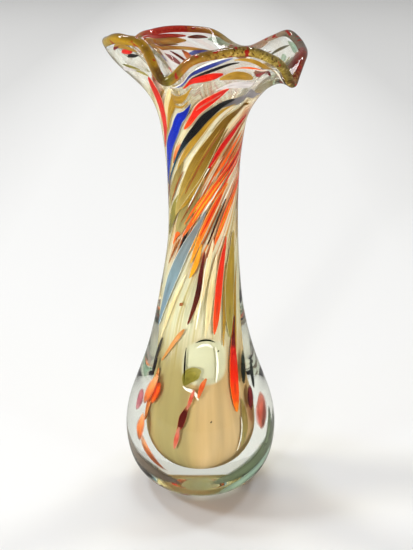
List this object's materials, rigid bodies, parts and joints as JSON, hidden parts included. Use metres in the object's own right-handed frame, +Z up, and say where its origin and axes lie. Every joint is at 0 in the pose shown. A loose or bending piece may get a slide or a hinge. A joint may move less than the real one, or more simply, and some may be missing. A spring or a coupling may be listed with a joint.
{
  "type": "glass vase",
  "caption": "Tall swung glass vase: coloured inner bubble with pressed-in glass canes, heavy clear casing with a bulb base, slim neck and a flared lip ruffled in waves.",
  "frame": {"origin": "centre of the ground foot, on the surface the vase stands on", "axes": "+Z up along the vase, -Y towards the side the picture shows, +X to that side's right"},
  "size_m": [0.1164, 0.1101, 0.3048],
  "materials": {
    "clear": "fire-polished clear casing, ground flat at the foot",
    "ochre": "translucent ochre and beige",
    "scarlet": "opaque scarlet",
    "vermilion": "opaque orange-red",
    "crimson": "opaque crimson",
    "garnet": "opaque garnet red with an orange end",
    "maroon": "opaque maroon",
    "amber": "opaque amber orange",
    "olive": "translucent olive gold",
    "umber": "opaque dark brown",
    "black": "opaque black",
    "royal_blue": "opaque royal blue",
    "slate_blue": "translucent grey blue"
  },
  "bodies": {
    "root": {"clear_casing": "clear", "inner_bubble": "ochre", "scarlet_edge_cane": "scarlet", "royal_blue_cane": "royal_blue", "flame_red_cane": "scarlet", "black_cane": "black", "olive_sash_cane": "olive", "crimson_cane": "crimson", "vermilion_cane": "vermilion", "slate_blue_cane": "slate_blue", "amber_cane": "amber", "umber_thread_cane": "umber", "ember_cane": "vermilion", "maroon_blade": "maroon", "apricot_tail_cane": "amber", "poppy_blade": "scarlet", "olive_blade": "olive", "garnet_blade": "garnet", "oxblood_fleck": "maroon", "coral_fleck": "vermilion", "copper_blade": "amber", "soot_thread_cane": "black"}
  },
  "joints": []
}
